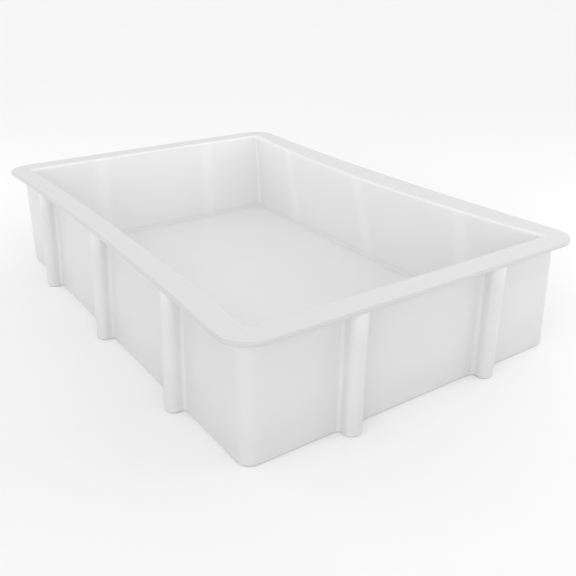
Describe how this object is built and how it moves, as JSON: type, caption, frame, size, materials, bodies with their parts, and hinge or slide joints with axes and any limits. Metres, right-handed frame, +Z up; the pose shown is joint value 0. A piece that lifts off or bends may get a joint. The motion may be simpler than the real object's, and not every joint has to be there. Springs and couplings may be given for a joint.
{
  "type": "silicone soap slab mould",
  "caption": "Open rectangular silicone slab mould for soap, with upright walls, a thin flat rim with rounded corners, and upright stiffening ribs outside.",
  "frame": {"origin": "middle of the base, on the surface that the mould stands on", "axes": "+X along the long sides, +Y across the mould from the front wall to the back wall, +Z up out of the mouth"},
  "size_m": [0.305, 0.21, 0.064],
  "materials": {
    "silicone": "satin, milky translucent white silicone rubber"
  },
  "bodies": {
    "root": {"floor_panel": "silicone", "rim_flange": "silicone", "front_wall": "silicone", "back_wall": "silicone", "left_end_wall": "silicone", "right_end_wall": "silicone", "front_left_corner": "silicone", "front_right_corner": "silicone", "back_left_corner": "silicone", "back_right_corner": "silicone", "front_left_rib": "silicone", "front_middle_rib": "silicone", "front_right_rib": "silicone", "back_left_rib": "silicone", "back_middle_rib": "silicone", "back_right_rib": "silicone", "left_end_front_rib": "silicone", "left_end_back_rib": "silicone", "right_end_front_rib": "silicone", "right_end_back_rib": "silicone"}
  },
  "joints": []
}
